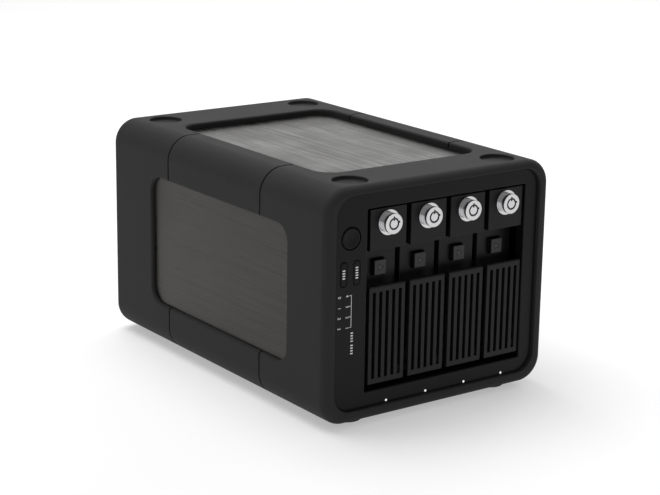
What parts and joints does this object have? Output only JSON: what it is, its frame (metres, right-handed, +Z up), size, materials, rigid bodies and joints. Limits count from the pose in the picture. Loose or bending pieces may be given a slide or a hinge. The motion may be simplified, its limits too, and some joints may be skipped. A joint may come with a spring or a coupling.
{
  "type": "nas enclosure",
  "caption": "Network storage enclosure with soft corner bumpers, brushed side and top panels, and lockable pull-out drive trays with slotted lever handles.",
  "frame": {"origin": "middle of the outer box at the underside of the feet", "axes": "+Z up, the tray side faces -Y, +X to the right seen from the front"},
  "size_m": [0.175, 0.2574, 0.151],
  "materials": {
    "bumper_rubber": "soft-touch charcoal",
    "foot_rubber": "black",
    "panel_aluminium": "dark brushed, grain front to back",
    "chassis_steel": "zinc plated",
    "bezel_plastic": "fine texture, black",
    "button_plastic": "black",
    "board_green": "solder mask",
    "light_clear": "clear white",
    "connector_black": "black",
    "sink_aluminium": "bare",
    "supply_steel": "plated",
    "rear_paint": "fine textured dark grey",
    "screw_steel": "black",
    "fan_plastic": "black",
    "guard_chrome": "bright wire",
    "rocker_plastic": "black",
    "socket_steel": "plated",
    "tray_plastic": "fine texture, black",
    "carrier_steel": "plated",
    "handle_plastic": "fine texture, dark grey",
    "eject_plastic": "black",
    "lock_chrome": "bright"
  },
  "bodies": {
    "enclosure": {"front_bumper": "bumper_rubber", "rear_bumper": "bumper_rubber", "edge_rail_top_left": "bumper_rubber", "edge_rail_top_right": "bumper_rubber", "edge_rail_bottom_left": "bumper_rubber", "edge_rail_bottom_right": "bumper_rubber", "feet": "foot_rubber", "left_panel": "panel_aluminium", "right_panel": "panel_aluminium", "top_panel": "panel_aluminium", "bottom_panel": "panel_aluminium", "chassis_floor": "chassis_steel", "chassis_cover": "chassis_steel", "drive_cage": "chassis_steel", "front_bezel": "bezel_plastic", "front_panel_board": "board_green", "backplane_board": "board_green", "controller_board": "board_green", "status_lights": "light_clear", "drive_connectors": "connector_black", "power_inlet": "connector_black", "switch_frame": "connector_black", "heat_sink": "sink_aluminium", "power_supply": "supply_steel", "rear_panel": "rear_paint", "rear_screws": "screw_steel", "fan_frame": "fan_plastic", "fan_guard": "guard_chrome", "network_socket": "socket_steel", "usb_socket": "socket_steel"},
    "tray_1": {"tray_1_front": "tray_plastic", "tray_1_carrier": "carrier_steel", "tray_1_lock_body": "lock_chrome"},
    "handle_1": {"tray_1_handle": "handle_plastic"},
    "eject_button_1": {"tray_1_eject_button": "eject_plastic"},
    "lock_core_1": {"tray_1_lock_core": "lock_chrome"},
    "tray_2": {"tray_2_front": "tray_plastic", "tray_2_carrier": "carrier_steel", "tray_2_lock_body": "lock_chrome"},
    "handle_2": {"tray_2_handle": "handle_plastic"},
    "eject_button_2": {"tray_2_eject_button": "eject_plastic"},
    "lock_core_2": {"tray_2_lock_core": "lock_chrome"},
    "tray_3": {"tray_3_front": "tray_plastic", "tray_3_carrier": "carrier_steel", "tray_3_lock_body": "lock_chrome"},
    "handle_3": {"tray_3_handle": "handle_plastic"},
    "eject_button_3": {"tray_3_eject_button": "eject_plastic"},
    "lock_core_3": {"tray_3_lock_core": "lock_chrome"},
    "tray_4": {"tray_4_front": "tray_plastic", "tray_4_carrier": "carrier_steel", "tray_4_lock_body": "lock_chrome"},
    "handle_4": {"tray_4_handle": "handle_plastic"},
    "eject_button_4": {"tray_4_eject_button": "eject_plastic"},
    "lock_core_4": {"tray_4_lock_core": "lock_chrome"},
    "power_button_cap": {"power_button": "button_plastic"},
    "fan_button_cap": {"fan_button": "button_plastic"},
    "mode_button_cap": {"mode_button": "button_plastic"},
    "rotor": {"fan_rotor": "fan_plastic"},
    "rocker": {"switch_rocker": "rocker_plastic"}
  },
  "joints": [
    {"name": "tray_1_slide", "type": "slide", "parent": "enclosure", "child": "tray_1", "axis": [0, -1, 0], "range_m": [0, 0.17]},
    {"name": "handle_1_swing", "type": "hinge", "parent": "tray_1", "child": "handle_1", "pos_m": [-0.0385, -0.11725, 0.0295], "axis": [1, 0, 0], "range_deg": [0, 60]},
    {"name": "eject_1_press", "type": "slide", "parent": "tray_1", "child": "eject_button_1", "axis": [0, 1, 0], "range_m": [0, 0.0018], "stiffness_N_per_m": 400},
    {"name": "lock_1_turn", "type": "hinge", "parent": "tray_1", "child": "lock_core_1", "pos_m": [-0.0385, -0.12325, 0.1253], "axis": [0, 1, 0], "range_deg": [0, 90]},
    {"name": "tray_2_slide", "type": "slide", "parent": "enclosure", "child": "tray_2", "axis": [0, -1, 0], "range_m": [0, 0.17]},
    {"name": "handle_2_swing", "type": "hinge", "parent": "tray_2", "child": "handle_2", "pos_m": [-0.0075, -0.11725, 0.0295], "axis": [1, 0, 0], "range_deg": [0, 60]},
    {"name": "eject_2_press", "type": "slide", "parent": "tray_2", "child": "eject_button_2", "axis": [0, 1, 0], "range_m": [0, 0.0018], "stiffness_N_per_m": 400},
    {"name": "lock_2_turn", "type": "hinge", "parent": "tray_2", "child": "lock_core_2", "pos_m": [-0.0075, -0.12325, 0.1253], "axis": [0, 1, 0], "range_deg": [0, 90]},
    {"name": "tray_3_slide", "type": "slide", "parent": "enclosure", "child": "tray_3", "axis": [0, -1, 0], "range_m": [0, 0.17]},
    {"name": "handle_3_swing", "type": "hinge", "parent": "tray_3", "child": "handle_3", "pos_m": [0.0235, -0.11725, 0.0295], "axis": [1, 0, 0], "range_deg": [0, 60]},
    {"name": "eject_3_press", "type": "slide", "parent": "tray_3", "child": "eject_button_3", "axis": [0, 1, 0], "range_m": [0, 0.0018], "stiffness_N_per_m": 400},
    {"name": "lock_3_turn", "type": "hinge", "parent": "tray_3", "child": "lock_core_3", "pos_m": [0.0235, -0.12325, 0.1253], "axis": [0, 1, 0], "range_deg": [0, 90]},
    {"name": "tray_4_slide", "type": "slide", "parent": "enclosure", "child": "tray_4", "axis": [0, -1, 0], "range_m": [0, 0.17]},
    {"name": "handle_4_swing", "type": "hinge", "parent": "tray_4", "child": "handle_4", "pos_m": [0.0545, -0.11725, 0.0295], "axis": [1, 0, 0], "range_deg": [0, 60]},
    {"name": "eject_4_press", "type": "slide", "parent": "tray_4", "child": "eject_button_4", "axis": [0, 1, 0], "range_m": [0, 0.0018], "stiffness_N_per_m": 400},
    {"name": "lock_4_turn", "type": "hinge", "parent": "tray_4", "child": "lock_core_4", "pos_m": [0.0545, -0.12325, 0.1253], "axis": [0, 1, 0], "range_deg": [0, 90]},
    {"name": "power_button_press", "type": "slide", "parent": "enclosure", "child": "power_button_cap", "axis": [0, 1, 0], "range_m": [0, 0.0008], "stiffness_N_per_m": 400},
    {"name": "fan_button_press", "type": "slide", "parent": "enclosure", "child": "fan_button_cap", "axis": [0, 1, 0], "range_m": [0, 0.0008], "stiffness_N_per_m": 400},
    {"name": "mode_button_press", "type": "slide", "parent": "enclosure", "child": "mode_button_cap", "axis": [0, 1, 0], "range_m": [0, 0.0008], "stiffness_N_per_m": 400},
    {"name": "fan_spin", "type": "hinge", "parent": "enclosure", "child": "rotor", "pos_m": [-0.026, 0.10495, 0.096], "axis": [0, 1, 0], "continuous": true},
    {"name": "power_switch_rock", "type": "hinge", "parent": "enclosure", "child": "rocker", "pos_m": [0.056, 0.12015, 0.0519], "axis": [-1, 0, 0], "range_deg": [0, 16]}
  ]
}
